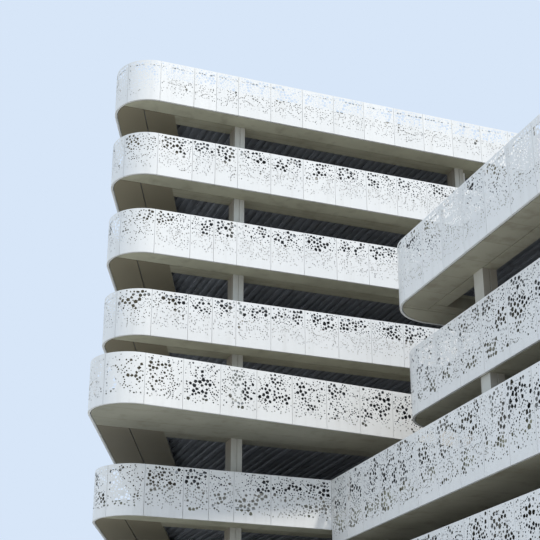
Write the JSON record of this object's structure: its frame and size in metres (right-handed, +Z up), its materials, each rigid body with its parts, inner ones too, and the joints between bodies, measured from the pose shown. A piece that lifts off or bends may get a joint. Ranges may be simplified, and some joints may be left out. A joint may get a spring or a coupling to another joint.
{
  "type": "multi storey car park",
  "caption": "Open multi storey car park: two wings of ribbed concrete decks on columns, wrapped in bands of white perforated metal screens with rounded ends.",
  "frame": {"origin": "centre of the foot of the front column beside the long wing's slanted, rounded end, on the ground", "axes": "+X along the long wing's front from its rounded end, +Y from the short wing's free front end towards the long wing's rear, +Z up"},
  "size_m": [24.7409, 36.07, 26],
  "materials": {
    "deck_concrete": "cast, board-marked, weathered",
    "column_concrete": "smooth cast",
    "parapet_concrete": "smooth cast",
    "white_screen": "satin white powder coat",
    "rail_metal": "mill finish",
    "pipe_metal": "grey paint"
  },
  "bodies": {
    "root": {"columns_1": "column_concrete", "columns_2": "column_concrete", "columns_3": "column_concrete", "columns_4": "column_concrete", "columns_5": "column_concrete", "columns_6": "column_concrete", "columns_7": "column_concrete", "columns_8": "column_concrete", "deck_1": "deck_concrete", "deck_2": "deck_concrete", "deck_3": "deck_concrete", "deck_4": "deck_concrete", "deck_5": "deck_concrete", "deck_6": "deck_concrete", "deck_7": "deck_concrete", "deck_8": "deck_concrete", "downpipe": "pipe_metal", "parapet_1": "parapet_concrete", "parapet_2": "parapet_concrete", "parapet_3": "parapet_concrete", "parapet_5": "parapet_concrete", "parapet_6": "parapet_concrete", "parapet_7": "parapet_concrete", "parapet_8": "parapet_concrete", "rails_1": "rail_metal", "rails_2": "rail_metal", "rails_3": "rail_metal", "rails_4": "rail_metal", "rails_5": "rail_metal", "rails_6": "rail_metal", "rails_7": "rail_metal", "rails_8": "rail_metal", "screens_1": "white_screen", "screens_2": "white_screen", "screens_3": "white_screen", "screens_4": "white_screen", "screens_5": "white_screen", "screens_6": "white_screen", "screens_7": "white_screen", "screens_8": "white_screen", "wing_edge_1": "deck_concrete", "wing_edge_2": "deck_concrete", "wing_edge_3": "deck_concrete", "wing_edge_4": "deck_concrete", "wing_edge_5": "deck_concrete"}
  },
  "joints": []
}
